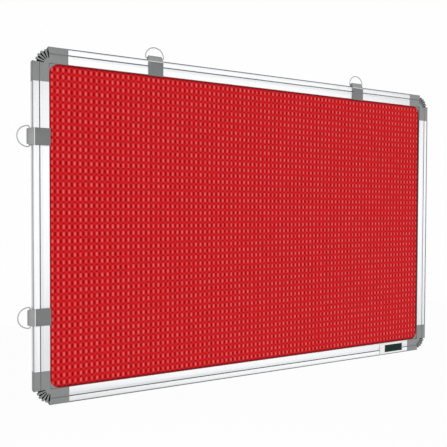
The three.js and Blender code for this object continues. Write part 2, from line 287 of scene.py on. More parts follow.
def groove_shade_share(finish, inset):
    """One in the groove that runs round the frame, where it is darkened as painted shade, else zero.
    """
    off_middle = finish.off(inset, GROOVE_MIDDLE)
    in_groove = finish.fading(
        off_middle, GROOVE_WIDTH * GROOVE_FULL_SHARE, GROOVE_WIDTH * GROOVE_END_SHARE
    )
    return finish.product(in_groove, front_share(finish))


def slope_shade_share(finish, inset):
    """How far the sloped band beside the groove is darkened as painted shade."""
    groove_end = GROOVE_INSET + GROOVE_WIDTH
    slope_end = groove_end + SLOPE_WIDTH
    return finish.product(
        finish.between(inset, GROOVE_MIDDLE, groove_end),
        finish.between(inset, slope_end, slope_end + SLOPE_FADE, SLOPE_SHADE_SHARE, 0.0),
        front_share(finish),
    )


def outer_edge_shade_share(finish, inset, depth, upright):
    """How far painted shade darkens the rounded outer edge, over a reach that grows to the right on
    upright rails.
    """
    reach = OUTER_LINE_REACH
    if upright:
        half = BOARD_WIDTH / 2
        reach = finish.between(
            finish.x, -half, half, OUTER_LINE_REACH_LEFT, OUTER_LINE_REACH_RIGHT
        )
    past = finish.math("SUBTRACT", inset, reach)
    return finish.product(
        finish.fading(past, OUTER_LINE_START, OUTER_LINE_END, smooth=True),
        finish.fading(depth, OUTER_LINE_DEPTH_START, OUTER_LINE_DEPTH_END, smooth=True),
    )


def satin_aluminium(name, upright):
    """Anodised aluminium with fine lines along the rail, and painted shade in the groove, on the
    sloped band, on the rounded outer edge and on the inner lip.
    """
    finish = Finish(name, roughness=0.42, metallic=0.4)
    along, across = LINE_WAVES_ALONG, LINE_WAVES_ACROSS
    waves = (across, across, along) if upright else (along, across, across)
    lines = finish.grain(waves, detail=3.0, rough=0.6)
    cloud = finish.noise(scale=24.0)
    inset, depth = finish.inset(), finish.depth()
    face = finish.mixed(cloud, paint(234, 235, 237), paint(240, 241, 242))
    line_share = finish.between(lines, 0.3, 0.7, 0.0, 0.1)
    lined = finish.mixed(line_share, face, paint(196, 199, 201))
    # Painted shade on the sloped band beside the groove
    slope_shaded = finish.mixed(slope_shade_share(finish, inset), lined, paint(204, 206, 210))
    # Painted shade on the rounded outer edge
    outer_shade = outer_edge_shade_share(finish, inset, depth, upright)
    outer_shaded = finish.mixed(outer_shade, slope_shaded, paint(74, 76, 79))
    # Painted shade on the inner side of the lip, where the cloth meets the frame
    lip_shade = finish.product(
        finish.between(inset, INNER_LINE_START, INNER_LINE_FULL),
        finish.between(depth, INNER_LINE_DEPTH_START, INNER_LINE_DEPTH_FULL),
    )
    lip_shaded = finish.mixed(lip_shade, outer_shaded, paint(134, 124, 126))
    # Painted shade in the groove
    finish.colour(finish.mixed(groove_shade_share(finish, inset), lip_shaded, paint(122, 124, 127)))
    finish.roughness(finish.between(lines, 0.25, 0.75, 0.36, 0.5))
    finish.bump(lines, depth=0.02 * MM, strength=0.4)
    return finish.material


# Plastic of the corners and the clips

# Where the painted shade in the corner slots lies
SLOT_FULL_SHARE = 0.24
SLOT_END_SHARE = 0.3
SLOT_SIDE_FADE = 0.4 * MM
SLOT_DEPTH_START = 0.1 * MM
SLOT_DEPTH_FULL = 1.1 * MM
# The bend line of the clip, the width of the painted highlight along it and where the tunnel's
# painted light ends
CREASE_INSET = CLIP_BEND_INSET - 0.4 * MM
BEND_HIGHLIGHT_FULL = 0.35 * MM
BEND_HIGHLIGHT_END = 0.7 * MM
TUNNEL_LIGHT_END = CLIP_BEND_INSET + 0.1 * MM


def slot_shade_share(finish):
    """One deep in the slots of a corner's fan, where painted shade turns them black, else zero."""
    far_x, far_z = finish.math("ABSOLUTE", finish.x), finish.math("ABSOLUTE", finish.z)
    out = finish.math("SUBTRACT", far_x, BOARD_WIDTH / 2 - FAN_INSET)
    up = finish.math("SUBTRACT", far_z, BOARD_HEIGHT / 2 - FAN_INSET)
    turn = finish.math("DIVIDE", finish.math("ARCTAN2", out, up), SLOT_PITCH)
    from_middle = finish.math("SUBTRACT", turn, QUARTER_TURN / 2 / SLOT_PITCH)
    off_slot = finish.math("PINGPONG", from_middle, 0.5)
    return finish.product(
        finish.fading(off_slot, SLOT_FULL_SHARE, SLOT_END_SHARE),
        finish.between(out, 0.0, SLOT_SIDE_FADE),
        finish.between(up, 0.0, SLOT_SIDE_FADE),
        finish.between(finish.depth(), SLOT_DEPTH_START, SLOT_DEPTH_FULL),
    )


def moulded_plastic():
    """Grey moulded plastic with a fine spark-eroded grain, and painted shade that turns the slots
    black deep down.
    """
    finish = Finish("moulded_plastic", roughness=0.5)
    grain = finish.noise(scale=2400.0, detail=3.0, rough=0.6)
    cloud = finish.noise(scale=45.0, detail=3.0)
    tone = finish.mixed(cloud, paint(131, 132, 133), paint(140, 141, 141))
    speck = finish.between(grain, 0.35, 0.75, 0.0, 0.16)
    grained = finish.mixed(speck, tone, paint(162, 163, 163))
    # Painted shade: the slots turn black deep down
    finish.colour(finish.mixed(slot_shade_share(finish), grained, paint(12, 12, 13)))
    finish.roughness(finish.between(grain, 0.3, 0.7, 0.42, 0.58))
    finish.bump(grain, depth=0.05 * MM, strength=0.5)
    return finish.material


def clip_plastic():
    """The clip's plastic: a dark strap, a painted highlight along the bend, and painted light that
    makes the sloped tunnel paler.
    """
    finish = Finish("clip_plastic", roughness=0.45)
    grain = finish.noise(scale=1900.0)
    inset = finish.inset()
    # Painted light: the sloped tunnel is painted paler than the strap
    tunnel = finish.fading(inset, CREASE_INSET, TUNNEL_LIGHT_END, smooth=True)
    off_crease = finish.off(inset, CREASE_INSET)
    # Painted highlight along the bend
    bend_highlight = finish.product(
        finish.fading(off_crease, BEND_HIGHLIGHT_FULL, BEND_HIGHLIGHT_END, smooth=True), front_share(finish)
    )
    cloud = finish.noise(scale=60.0)
    strap = finish.mixed(cloud, paint(110, 111, 112), paint(121, 122, 122))
    # The tunnel's paler tone is painted light
    pale = finish.mixed(cloud, paint(154, 155, 155), paint(164, 165, 165))
    tone = finish.mixed(tunnel, strap, pale)
    finish.colour(finish.mixed(bend_highlight, tone, paint(250, 251, 251)))
    finish.roughness(finish.between(grain, 0.3, 0.7, 0.38, 0.52))
    finish.bump(grain, depth=0.03 * MM, strength=0.4)
    return finish.material


# Metal of the rings and the screws


def plated_wire():
    """Nickel-plated wire with faint drawing marks."""
    finish = Finish("plated_wire", roughness=0.25, metallic=1.0)
    marks = finish.noise(scale=900.0, detail=3.0)
    finish.colour(finish.mixed(marks, paint(146, 147, 149), paint(160, 161, 163)))
    finish.roughness(finish.between(marks, 0.3, 0.7, 0.2, 0.34))
    finish.bump(marks, depth=0.02 * MM, strength=0.3)
    return finish.material


def zinc_plate():
    """Zinc-plated screw steel, a little cloudy."""
    finish = Finish("zinc_plate", roughness=0.35, metallic=1.0)
    cloud = finish.noise(scale=500.0, detail=4.0)
    finish.colour(finish.mixed(cloud, paint(150, 153, 158), paint(196, 198, 200)))
    finish.roughness(finish.between(cloud, 0.3, 0.7, 0.28, 0.45))
    finish.bump(cloud, depth=0.02 * MM, strength=0.3)
    return finish.material


# The cloth's pattern: floats of yarn in upright lozenges, in rows that are set off by half a pitch

FLOAT_PITCH_ACROSS = 9.5 * MM
FLOAT_PITCH_DOWN = 12 * MM
FLOAT_WANDER_SHARE = 0.14
WANDER_WAVES_ACROSS = 14.0
WANDER_WAVES_DOWN = 19.0
YARNS_ACROSS = 10
YARNS_DOWN = 12
YARN_HEIGHT = 0.35 * MM
YARN_EDGE_SHARE = 0.3
FIBRE_WAVES = (4200.0, 900.0, 900.0)
FIBRE_BUMP_SHARE = 0.25
FLOAT_START = 0.2
FLOAT_FULL = 0.4
WEAKEST_SPOT_SHARE = 0.52
STRONGEST_SPOT_SHARE = 1.3
SPOT_SEED = 0.0
YARN_SEED = 1.0
EDGE_SHADE_WIDTH = 5 * MM
EDGE_SHADE_SHARE = 0.62

# Each spot of the pattern: its middle in pitches across and down, its reach in pitches, and how far
# it stands out (above zero) or in
FLOAT_SPOT_SHARES = (
    (0.0, 0.0, 0.17, 0.28, 1.2),
    (0.5, 0.0, 0.16, 0.26, -0.9),
    (0.0, 0.5, 0.17, 0.14, -0.55),
    (0.5, 0.5, 0.2, 0.16, 0.2),
)

# The cloth's colour, from the gaps at 0 to the crowns of the floats at 1: the weave's pattern, with
# painted shade in the gaps and painted highlights on the crowns
CLOTH_STOPS = (
    (0.0, paint(152, 0, 3)),
    (0.34, paint(184, 1, 9)),
    (0.44, paint(231, 30, 35)),
    (0.6, paint(243, 43, 48)),
    (0.7, paint(255, 85, 87)),
    (1.0, paint(255, 116, 118)),
)


def float_signal(graph, u, v):
    """The pattern from -1 in the gaps to 1 on the floats, at a place in pitches across and down."""
    signal = 0.0
    for middle_u, middle_v, reach_u, reach_v, height in FLOAT_SPOT_SHARES:
        across = graph.math("PINGPONG", graph.math("ADD", u, middle_u), 0.5)
        down = graph.math("PINGPONG", graph.math("ADD", v, middle_v), 0.5)
        across = graph.math("POWER", graph.math("DIVIDE", across, reach_u), 2.0)
        down = graph.math("POWER", graph.math("DIVIDE", down, reach_v), 2.0)
        fall = graph.math("MULTIPLY", graph.math("ADD", across, down), -1.0)
        spot = graph.math("MULTIPLY", graph.math("EXPONENT", fall), height)
        signal = graph.math("ADD", signal, spot)
    return signal


def yarn_places(finish):
    """The place on the cloth, counted in yarns of the warp and of the weft."""
    places = []
    for along, pitch, yarns, waves in (
        (finish.x, FLOAT_PITCH_ACROSS, YARNS_ACROSS, WANDER_WAVES_ACROSS),
        (finish.z, FLOAT_PITCH_DOWN, YARNS_DOWN, WANDER_WAVES_DOWN),
    ):
        wander = finish.math("SUBTRACT", finish.noise(waves), 0.5)
        wander = finish.math("MULTIPLY", wander, FLOAT_WANDER_SHARE)
        pitches = finish.math("ADD", finish.math("DIVIDE", along, pitch), wander)
        places.append(finish.math("MULTIPLY", pitches, yarns))
    return places


def yarn_round(finish, place):
    """The rounded back of a yarn: one along its middle and zero between two yarns."""
    off_middle = finish.math("MULTIPLY", finish.math("PINGPONG", place, 0.5), 2.0)
    return finish.math("SUBTRACT", 1.0, finish.math("POWER", off_middle, 2.0))


def chance_at(finish, across, down, seed):
    """A chance of 0 to 1 for each whole place across and down."""
    cell = finish.add("ShaderNodeCombineXYZ", {0: across, 1: down, 2: seed}).outputs[0]
    return finish.add("ShaderNodeTexWhiteNoise", {"Vector": cell}).outputs[0]


def uneven_floats(finish, warp, weft, warp_number, weft_number):
    """The pattern's signal at each yarn, stronger in some spots than in others."""
    signal = float_signal(
        finish,
        finish.math("DIVIDE", warp_number, YARNS_ACROSS),
        finish.math("DIVIDE", weft_number, YARNS_DOWN),
    )
    spot_chance = chance_at(
        finish,
        finish.math("ROUND", finish.math("DIVIDE", warp, YARNS_ACROSS / 2)),
        finish.math("ROUND", finish.math("DIVIDE", weft, YARNS_DOWN / 2)),
        SPOT_SEED,
    )
    share = finish.between(spot_chance, 0.0, 1.0, WEAKEST_SPOT_SHARE, STRONGEST_SPOT_SHARE)
    return finish.product(signal, share)


def weave_relief(finish, warp, weft, crossing, floats):
    """The height of the yarns: a plain weave, with warp yarns on top where they float."""
    warp_back = yarn_round(finish, warp)
    weft_back = yarn_round(finish, weft)
    over = finish.product(warp_back, finish.between(weft_back, 0.0, 1.0, YARN_EDGE_SHARE, 1.0))
    under = finish.product(weft_back, finish.between(warp_back, 0.0, 1.0, YARN_EDGE_SHARE, 1.0))
    ground = finish.blended(crossing, under, over)
    return finish.blended(finish.between(floats, FLOAT_START, FLOAT_FULL), ground, warp_back)


def woven_cloth():
    """Red cloth woven yarn by yarn: floats along the warp with painted highlights, sunk gaps with
    painted shade, a plain ground.
    """
    finish = Finish("woven_cloth", roughness=0.88)
    warp, weft = yarn_places(finish)
    warp_number = finish.math("ROUND", warp)
    weft_number = finish.math("ROUND", weft)
    floats = uneven_floats(finish, warp, weft, warp_number, weft_number)
    crossing = finish.math("PINGPONG", finish.math("ADD", warp_number, weft_number), 1.0)
    relief = weave_relief(finish, warp, weft, crossing, floats)

    # The pattern's tone, with painted shade in the gaps and painted highlights on the floats' crowns
    tone = finish.ramp(finish.between(floats, -1.0, 1.0), CLOTH_STOPS)
    fibre = finish.grain(FIBRE_WAVES, detail=3.0, rough=0.6)
    spun = finish.mixed(finish.between(fibre, 0.3, 0.7, 0.0, 0.08), tone, paint(178, 14, 26))
    over_number = finish.product(weft_number, crossing)
    yarn_chance = chance_at(finish, warp_number, over_number, YARN_SEED)
    dye_share = finish.between(yarn_chance, 0.0, 1.0, 0.0, 0.08)
    dyed = finish.mixed(dye_share, spun, paint(150, 6, 18))
    # Painted shade where the yarns sink between one another
    crease_shaded = finish.mixed(finish.between(relief, 0.0, 0.7, 0.3, 0.0), dyed, paint(110, 0, 8))
    shade_end = RAIL_FACE + EDGE_SHADE_WIDTH
    shade = finish.between(
        finish.inset(), RAIL_FACE, shade_end, EDGE_SHADE_SHARE, 0.0, smooth=True
    )
    finish.colour(finish.mixed(shade, crease_shaded, paint(92, 6, 14)))

    strands = finish.product(finish.between(fibre, 0.3, 0.7), FIBRE_BUMP_SHARE)
    finish.bump(finish.math("ADD", relief, strands), depth=YARN_HEIGHT, strength=0.65)
    finish.plain("Sheen Weight", 0.05)
    finish.plain("Sheen Roughness", 0.5)
    finish.plain("Sheen Tint", paint(255, 190, 190))
    finish.plain("Specular IOR Level", 0.1)
    return finish.material


# Boards behind the cloth

SCREEN_PITCH = 1.6 * MM
HARDBOARD_FIBRE_WAVES = (260.0, 260.0, 520.0)


def soft_fibreboard():
    """Raw fibreboard, tan and matted."""
    finish = Finish("soft_fibreboard", roughness=0.95)
    mat = finish.noise(scale=420.0, detail=6.0, rough=0.7)
    finish.colour(finish.ramp(mat, [(0.3, paint(160, 130, 92)), (0.7, paint(205, 180, 140))]))
    finish.bump(mat, depth=0.4 * MM)
    return finish.material


def hardboard():
    """The backing: brown hardboard with matted fibres and the print of a wire screen."""
    finish = Finish("hardboard", roughness=0.8)
    fibre = finish.grain(HARDBOARD_FIBRE_WAVES, detail=5.0, rough=0.65)
    patch = finish.noise(scale=9.0, detail=4.0)
    waves = [
        finish.math("SINE", finish.math("MULTIPLY", along, FULL_TURN / SCREEN_PITCH))
        for along in (finish.x, finish.z)
    ]
    screen = finish.between(finish.product(*waves), -1.0, 1.0)
    stops = [
        (0.25, paint(104, 66, 40)),
        (0.55, paint(140, 95, 60)),
        (0.8, paint(170, 122, 80)),
    ]
    tone = finish.ramp(fibre, stops)
    worn = finish.mixed(finish.between(patch, 0.35, 0.7, 0.0, 0.45), tone, paint(122, 80, 50))
    print_share = finish.between(screen, 0.5, 1.0, 0.0, 0.3)
    finish.colour(finish.mixed(print_share, worn, paint(92, 58, 34)))
    height = finish.blended(0.5, screen, fibre)
    finish.bump(height, depth=0.2 * MM, strength=0.6)
    return finish.material


# The sticker on the bottom rail, as a place on the board's front

STICKER_LEFT = 306 * MM
STICKER_RIGHT = 376 * MM
STICKER_BOTTOM = -297.4 * MM
STICKER_TOP = -274.4 * MM
STICKER_COLUMNS = 24
STICKER_ROWS = 60
STICKER_THICKNESS = 0.15 * MM
STICKER_ROUND = 1 * MM
STICKER_GLUE = 0.01 * MM
STICKER_SAG = 0.4 * MM
STICKER_SAG_REACH = 0.9 * MM
STICKER_EDGE_WIDTH = 1.6 * MM
STICKER_EDGE_SHARE = 0.8
FIELD_LEFT = 322 * MM
FIELD_RIGHT = 374.6 * MM
FIELD_BOTTOM = -294 * MM
FIELD_TOP = -277.6 * MM
FIELD_BLUR = 0.15 * MM


def printed_film():
    """The sticker's film: white, with a bare dark green field and a grey left edge."""
    finish = Finish("printed_film", roughness=0.5)
    grain = finish.noise(scale=1500.0)
    sides = []
    for place, low, high in (
        (finish.x, FIELD_LEFT, FIELD_RIGHT),
        (finish.z, FIELD_BOTTOM, FIELD_TOP),
    ):
        sides.append(finish.between(place, low - FIELD_BLUR, low + FIELD_BLUR))
        sides.append(finish.fading(place, high - FIELD_BLUR, high + FIELD_BLUR))
    field = finish.product(*sides)
    edge = finish.between(
        finish.x, STICKER_LEFT + STICKER_EDGE_WIDTH, STICKER_LEFT, 0.0, 1.0, smooth=True
    )
    white = finish.mixed(grain, paint(249, 250, 250), paint(254, 254, 254))
    green = finish.mixed(grain, paint(6, 34, 27), paint(12, 44, 35))
    edge_share = finish.product(edge, STICKER_EDGE_SHARE)
    ground = finish.mixed(edge_share, white, paint(96, 100, 100))
    finish.colour(finish.mixed(field, ground, green))
    finish.bump(grain, depth=0.02 * MM, strength=0.3)
    finish.plain("Specular IOR Level", 0.1)
    return finish.material


# Meshes

WELD_DISTANCE = 0.002 * MM
FLAT_ANGLE = math.radians(0.5)
EDGE_ANGLE = math.radians(28)
EDGE_SEGMENTS = 2
RAIL_EDGE_ROUND = 0.2 * MM
PLASTIC_EDGE_ROUND = 0.3 * MM


def object_of(name, data):
    """A new object at the origin that shows the data."""
    made = bpy.data.objects.new(name, data)
    bpy.context.scene.collection.objects.link(made)
    return made


def mesh_of(name, shape):
    """The mesh that holds a bmesh, with smooth faces."""
    for face in shape.faces:
        face.smooth = True
    mesh = bpy.data.meshes.new(name)
    shape.to_mesh(mesh)
    shape.free()
    return mesh


def placed(piece, body, slot, *nodes):
    """The piece rides on its body and stands for the nodes; the slot is not used."""
    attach(piece, body)
    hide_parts(*nodes)


def eased_copy(node, name, edge_round, material):
    """A copy of a solid with its flat facets joined and its edges rounded."""
    shape = bmesh.new()
    shape.from_mesh(frame["nodes"][node].data)
    bmesh.ops.remove_doubles(shape, verts=shape.verts, dist=WELD_DISTANCE)
    bmesh.ops.dissolve_limit(
        shape, angle_limit=FLAT_ANGLE, verts=shape.verts, edges=shape.edges
    )
    mesh = mesh_of(name, shape)
    mesh.materials.append(material)
    piece = object_of(name, mesh)
    rounding = piece.modifiers.new("rounded edges", "BEVEL")
    rounding.width = edge_round
    rounding.segments = EDGE_SEGMENTS
    rounding.limit_method = "ANGLE"
    rounding.angle_limit = EDGE_ANGLE
    rounding.harden_normals = True
    return piece


def baked(piece):
    """The piece as a plain mesh at the origin, its modifiers used up."""
    view = bpy.context.evaluated_depsgraph_get()
    mesh = bpy.data.meshes.new_from_object(piece.evaluated_get(view), depsgraph=view)
    name = piece.name
    bpy.data.objects.remove(piece)
    return object_of(name, mesh)


def grown(piece, tree, inputs):
    """The plain mesh that a Geometry Nodes tree makes of a piece, with its named inputs set."""
    modifier = piece.modifiers.new(tree.name, "NODES")
    modifier.node_group = tree
    for socket in tree.interface.items_tree:
        if socket.in_out == "INPUT" and socket.name in inputs:
            modifier[socket.identifier] = inputs[socket.name]
    return baked(piece)


def shape_tree(name, inputs):
    """A Geometry Nodes tree with a shape in, a shape out and the named inputs between."""
    tree = bpy.data.node_groups.new(name, "GeometryNodeTree")
    tree.interface.new_socket("Shape", in_out="INPUT", socket_type="NodeSocketGeometry")
    for label, kind in inputs.items():
        tree.interface.new_socket(label, in_out="INPUT", socket_type=kind)
    tree.interface.new_socket("Shape", in_out="OUTPUT", socket_type="NodeSocketGeometry")
    graph = Graph(tree)
    return graph, graph.add("NodeGroupInput"), graph.add("NodeGroupOutput")


def finished(graph, group_in, group_out, shape):
    """Ends a tree: instances made real and the finish set."""
    real = graph.add("GeometryNodeRealizeInstances", {0: shape})
    dressed = graph.add(
        "GeometryNodeSetMaterial",
        {"Geometry": real.outputs[0], "Material": group_in.outputs["Finish"]},
    )
    graph.feed(dressed.outputs[0], group_out.inputs[0])
    return graph.tree


# Rings of bent wire

WIRE_SIDES = 16
RING_BEND_POINTS = 9
RING_ARC_POINTS = 49


def wire_tree():
    """Runs a round wire along a line of points."""
    graph, group_in, group_out = shape_tree(
        "bent_wire",
        {
            "Wire Radius": "NodeSocketFloat",
            "Sides": "NodeSocketInt",
            "Finish": "NodeSocketMaterial",
        },
    )
    line = graph.add("GeometryNodeMeshToCurve", {"Mesh": group_in.outputs["Shape"]})
    section = graph.add(
        "GeometryNodeCurvePrimitiveCircle",
        {"Resolution": group_in.outputs["Sides"], "Radius": group_in.outputs["Wire Radius"]},
    )
    tube = graph.add(
        "GeometryNodeCurveToMesh",
        {"Curve": line.outputs[0], "Profile Curve": section.outputs[0], "Fill Caps": True},
    )
    return finished(graph, group_in, group_out, tube.outputs[0])


def ring_line():
    """The wire's centre line about the middle of its bar: across, and out from the board."""
    side, bend, seam = RING_ARC_RADIUS, RING_BEND_RADIUS, RING_SEAM / 2
    points = [(seam, 0.0), (side - bend, 0.0)]
    for middle, radius, start, turn, count in (
        (side - bend, bend, -QUARTER_TURN, QUARTER_TURN, RING_BEND_POINTS),
        (0.0, side, 0.0, HALF_TURN, RING_ARC_POINTS),
        (bend - side, bend, HALF_TURN, QUARTER_TURN, RING_BEND_POINTS),
    ):
        for angle in np.linspace(start, start + turn, count)[1:]:
            across = middle + radius * math.cos(angle)
            points.append((across, bend + radius * math.sin(angle)))
    points.append((-seam, 0.0))
    return points


def hanger_rings(material):
    """The four D-rings, each on its own body, at its hinge."""
    tree = wire_tree()
    hinges = {joint["child"]: Vector(joint["pos_m"]) for joint in frame["joints"]}
    for name in HANGERS:
        on_top = name.startswith("top")
        points = [
            hinges["ring_" + name] + Vector((across, 0, out) if on_top else (-out, 0, across))
            for across, out in ring_line()
        ]
        mesh = bpy.data.meshes.new("hanger_ring_" + name + "_line")
        mesh.from_pydata(points, [(i, i + 1) for i in range(len(points) - 1)], [])
        inputs = {"Wire Radius": WIRE_RADIUS, "Sides": WIRE_SIDES, "Finish": material}
        ring = grown(object_of("wire_ring_" + name, mesh), tree, inputs)
        for face in ring.data.polygons:
            face.use_smooth = len(face.vertices) == 4
        placed(ring, "ring_" + name, "ring_wire", "hanger_ring_" + name)


# Corner screws, seen from behind

SCREW_HEAD = 5.8 * MM
SCREW_HEAD_HEIGHT = 1.4 * MM
SCREW_RIM = 0.3 * SCREW_HEAD_HEIGHT
SCREW_TOP_SHARE = 0.55
SCREW_TOP_POINTS = 7
SCREW_SHANK = 2.8 * MM
SCREW_LENGTH = 9 * MM
SCREW_TIP = 2 * MM
SCREW_STEPS = 28
SCREW_WELD = 0.001 * MM
SCREW_SEAT_Y = -1.7 * MM
SCREW_SEED = 4
RECESS_REACH = 1.7 * MM
RECESS_FLOOR_SHARE = 0.45
RECESS_WIDTH = 0.55 * MM
RECESS_DEPTH = 1 * MM


def screw_body():
    """A pan-head screw along Y, its seat at Y zero."""
    head, shank = SCREW_HEAD / 2, SCREW_SHANK / 2
    profile = [
        (0.0, -SCREW_LENGTH),
        (shank, -SCREW_LENGTH + SCREW_TIP),
        (shank, 0.0),
        (head, 0.0),
    ]
    for angle in np.linspace(0, QUARTER_TURN, SCREW_TOP_POINTS):
        radius = head * (SCREW_TOP_SHARE + (1 - SCREW_TOP_SHARE) * math.cos(angle))
        rise = (SCREW_HEAD_HEIGHT - SCREW_RIM) * math.sin(angle)
        profile.append((radius, SCREW_RIM + rise))
    profile.append((0.0, SCREW_HEAD_HEIGHT))
    shape = bmesh.new()
    line = [shape.verts.new((radius, along, 0)) for radius, along in profile]
    edges = [shape.edges.new(pair) for pair in zip(line, line[1:])]
    bmesh.ops.spin(
        shape,
        geom=line + edges,
        cent=(0, 0, 0),
        axis=(0, 1, 0),
        angle=FULL_TURN,
        steps=SCREW_STEPS,
    )
    bmesh.ops.remove_doubles(shape, verts=shape.verts, dist=SCREW_WELD)
    bmesh.ops.recalc_face_normals(shape, faces=shape.faces)
    return object_of("screw_pattern", mesh_of("screw_pattern", shape))


def recess_cutter():
    """Two crossed bars that narrow towards the floor of the recess."""
    shape = bmesh.new()
    for turn in (0, QUARTER_TURN):
        bar = bmesh.ops.create_cube(shape, size=1)["verts"]
        for vert in bar:
            deep = vert.co.y < 0
            vert.co.x *= 2 * RECESS_REACH * (RECESS_FLOOR_SHARE if deep else 1.0)
            vert.co.z *= RECESS_WIDTH
            vert.co.y = SCREW_HEAD_HEIGHT + (-RECESS_DEPTH if deep else RECESS_DEPTH)
        bmesh.ops.rotate(shape, verts=bar, matrix=Matrix.Rotation(turn, 3, "Y"))
    return object_of("recess_cutter", mesh_of("recess_cutter", shape))


def screw_pattern():
    """One screw with a cross recess in its head."""
    screw, cutter = screw_body(), recess_cutter()
    recess = screw.modifiers.new("cross recess", "BOOLEAN")
    recess.operation = "DIFFERENCE"
    recess.object = cutter
    recess.use_self = True
    screw = baked(screw)
    bpy.data.objects.remove(cutter)
    return screw


def screw_tree():
    """Sets a screw on each point, turned by chance about its own axis."""
    graph, group_in, group_out = shape_tree(
        "set_screws",
        {
            "Screw": "NodeSocketObject",
            "Seed": "NodeSocketInt",
            "Finish": "NodeSocketMaterial",
        },
    )
    pattern = graph.add("GeometryNodeObjectInfo", {"Object": group_in.outputs["Screw"]})
    turn = graph.chance(0.0, FULL_TURN, group_in.outputs["Seed"])
    spin = graph.add("ShaderNodeCombineXYZ", {1: turn})
    screws = graph.add(
        "GeometryNodeInstanceOnPoints",
        {
            "Points": group_in.outputs["Shape"],
            "Instance": pattern.outputs["Geometry"],
            "Rotation": spin.outputs[0],
        },
    )
    return finished(graph, group_in, group_out, screws.outputs[0])


def corner_screws(material):
    """All eight screws as one piece, each at the middle of its node."""
    nodes = [f"corner_screw_{side}_{number}" for side in SIDES for number in (1, 2)]
    points = []
    for node in nodes:
        low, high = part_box(node)
        middle = (low + high) / 2
        points.append((middle.x, SCREW_SEAT_Y, middle.z))
    pattern = screw_pattern()
    mesh = bpy.data.meshes.new("corner_screw_points")
    mesh.from_pydata(points, [], [])
    inputs = {"Screw": pattern, "Seed": SCREW_SEED, "Finish": material}
    screws = grown(object_of("corner_screws", mesh), screw_tree(), inputs)
    bpy.data.objects.remove(pattern)
    placed(screws, "board", "screw_steel", *nodes)


# The cloth

CLOTH_QUADS_ACROSS = 4
CLOTH_QUADS_DOWN = 5
CLOTH_THICKNESS = 0.8 * MM
CLOTH_BACK_Y = -6.2 * MM
CLOTH_EDGE_ROUND = 0.8 * MM
CLOTH_EDGE_EASE = 0.5 * MM
CLOTH_SWELL = 0.25 * MM
CLOTH_SEED = 7
FLOAT_HEIGHT = 0.34 * MM
LOWEST_FLOAT_SHARE = 0.6
HIGHEST_FLOAT_SHARE = 1.15
FLOAT_ROW_STEP = 1000.0
PRESS_START = 0.4 * MM
PRESS_WIDTH = 5 * MM


def cloth_tree():
    """Raises the floats of the weave where the sheet is free of the frame."""
    graph, group_in, group_out = shape_tree(
        "raised_floats",
        {
            "Float Height": "NodeSocketFloat",
            "Swell": "NodeSocketFloat",
            "Seed": "NodeSocketInt",
            "Finish": "NodeSocketMaterial",
        },
    )
    place = graph.add("GeometryNodeInputPosition")
    x, _, z = graph.add("ShaderNodeSeparateXYZ", {0: place.outputs[0]}).outputs
    free = graph.add("GeometryNodeInputNamedAttribute", {"Name": "free"}, data_type="FLOAT")
    u = graph.math("DIVIDE", x, FLOAT_PITCH_ACROSS)
    v = graph.math("DIVIDE", z, FLOAT_PITCH_DOWN)
    column = graph.math("ROUND", graph.math("MULTIPLY", u, 2.0))
    row = graph.math("ROUND", graph.math("MULTIPLY", v, 2.0))
    number = graph.math("ADD", graph.math("MULTIPLY", row, FLOAT_ROW_STEP), column)
    share = graph.chance(
        LOWEST_FLOAT_SHARE, HIGHEST_FLOAT_SHARE, group_in.outputs["Seed"], number
    )
    raised = graph.product(float_signal(graph, u, v), share, group_in.outputs["Float Height"])
    swollen = graph.math("ADD", raised, group_in.outputs["Swell"])
    forward = graph.product(swollen, free.outputs[0], -1.0)
    offset = graph.add("ShaderNodeCombineXYZ", {1: forward})
    relief = graph.add(
        "GeometryNodeSetPosition",
        {"Geometry": group_in.outputs["Shape"], "Offset": offset.outputs[0]},
    )
    return finished(graph, group_in, group_out, relief.outputs[0])


def draw_in(edges, high, distance):
    """Draws the corners of a loop of edges in towards the middle of the board."""
    for vert in {vert for edge in edges for vert in edge.verts}:
        vert.co.x *= 1 - distance / high.x
        vert.co.z *= 1 - distance / high.z


def flat_sheet(shape, low, high):
    """A grid over the panel's front with its corners cut off as the solid cover's are."""
    cover = frame["nodes"]["fabric_cover"].data
    corner_cut = max(vertex.co.x + vertex.co.z for vertex in cover.vertices)
    columns = round((high.x - low.x) / FLOAT_PITCH_ACROSS * CLOTH_QUADS_ACROSS)
    rows = round((high.z - low.z) / FLOAT_PITCH_DOWN * CLOTH_QUADS_DOWN)
    places = np.linspace(low.x, high.x, columns + 1)
    grid = [
        [shape.verts.new((x, low.y, z)) for x in places]
        for z in np.linspace(low.z, high.z, rows + 1)
    ]
    for lower, upper in zip(grid, grid[1:]):
        for i in range(columns):
            shape.faces.new((lower[i], lower[i + 1], upper[i + 1], upper[i]))
    for across in (-1, 1):
        for up in (-1, 1):
            bmesh.ops.bisect_plane(
                shape,
                geom=shape.verts[:] + shape.edges[:] + shape.faces[:],
                plane_co=(across * corner_cut, 0, 0),
                plane_no=(across, 0, up),
                clear_outer=True,
            )
    for vert in shape.verts:
        vert.co.y = low.y


